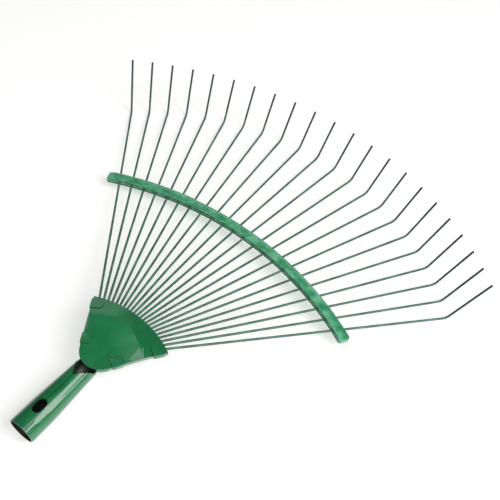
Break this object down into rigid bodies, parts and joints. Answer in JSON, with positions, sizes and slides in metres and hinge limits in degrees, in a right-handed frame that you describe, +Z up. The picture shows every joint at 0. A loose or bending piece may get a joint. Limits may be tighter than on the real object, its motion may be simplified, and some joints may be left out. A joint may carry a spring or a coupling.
{
  "type": "lawn rake head",
  "caption": "Fan-shaped lawn rake head of hooked spring wire tines, held between pressed plates with a pole socket and a curved spreader bar.",
  "frame": {"origin": "centre of the pole socket's mouth", "axes": "+X forward over the tines, +Y to the left seen from behind the socket, +Z up; the head lies at rest on level ground on the socket's lip and the knees of the tines"},
  "size_m": [0.5418, 0.5196, 0.0622],
  "materials": {
    "sheet_paint": "semi-gloss green paint on pressed sheet steel",
    "bar_paint": "semi-gloss green paint on a rolled sheet steel channel",
    "wire_paint": "thin green paint on spring steel wire"
  },
  "bodies": {
    "root": {"socket_plate": "sheet_paint", "cover_plate": "sheet_paint", "spreader_bar": "bar_paint", "tine_01": "wire_paint", "tine_02": "wire_paint", "tine_03": "wire_paint", "tine_04": "wire_paint", "tine_05": "wire_paint", "tine_06": "wire_paint", "tine_07": "wire_paint", "tine_08": "wire_paint", "tine_09": "wire_paint", "tine_10": "wire_paint", "tine_11": "wire_paint", "tine_12": "wire_paint", "tine_13": "wire_paint", "tine_14": "wire_paint", "tine_15": "wire_paint", "tine_16": "wire_paint", "tine_17": "wire_paint", "tine_18": "wire_paint", "tine_19": "wire_paint", "tine_20": "wire_paint", "tine_21": "wire_paint", "tine_22": "wire_paint"}
  },
  "joints": []
}
